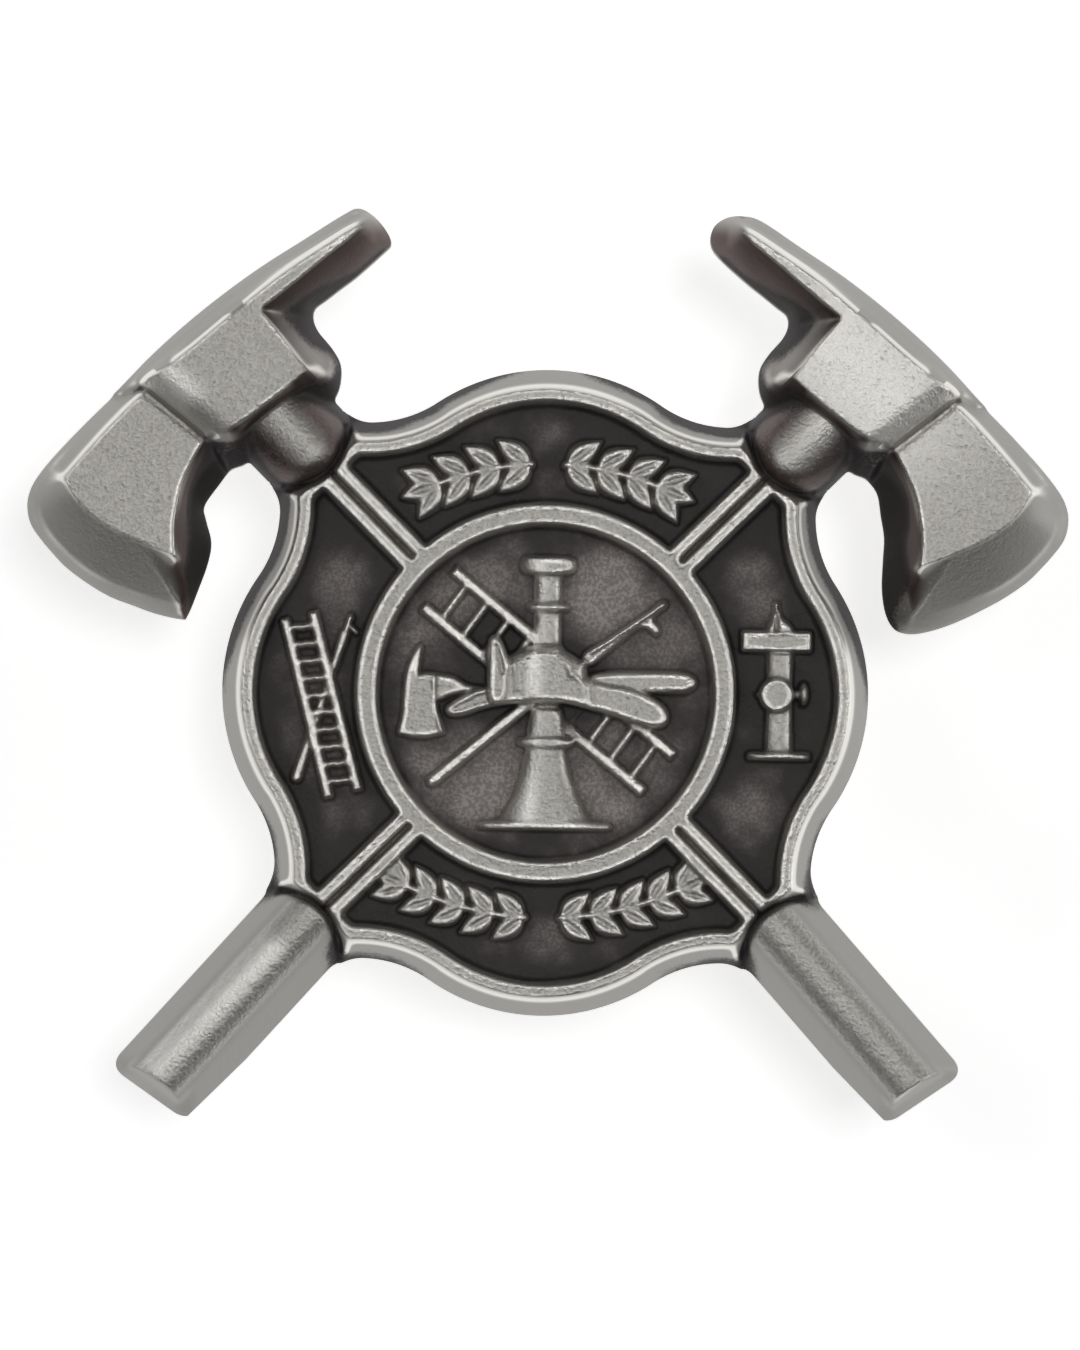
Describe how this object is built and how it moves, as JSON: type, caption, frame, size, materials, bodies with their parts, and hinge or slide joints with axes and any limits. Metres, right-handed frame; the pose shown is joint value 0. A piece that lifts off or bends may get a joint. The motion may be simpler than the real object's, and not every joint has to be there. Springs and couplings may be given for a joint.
{
  "type": "lapel pin",
  "caption": "Fire service lapel pin: a cast cross over crossed axes, with tools in relief, a soldered nail and a round push-on clutch.",
  "frame": {"origin": "on the nail's axis, in the clutch's resting face, with the pin lying face up", "axes": "+Z out of the badge's face, along the nail; +Y towards the top of the badge, where the axe heads are; +X to the right of someone who looks at the face"},
  "size_m": [0.0286, 0.025, 0.0111],
  "materials": {
    "badge": "cast pewter, antiqued black in the recesses and rubbed bright on the high edges",
    "clutch": "nickel plate, lightly worn"
  },
  "bodies": {
    "root": {"badge": "badge", "clutch": "clutch"}
  },
  "joints": []
}
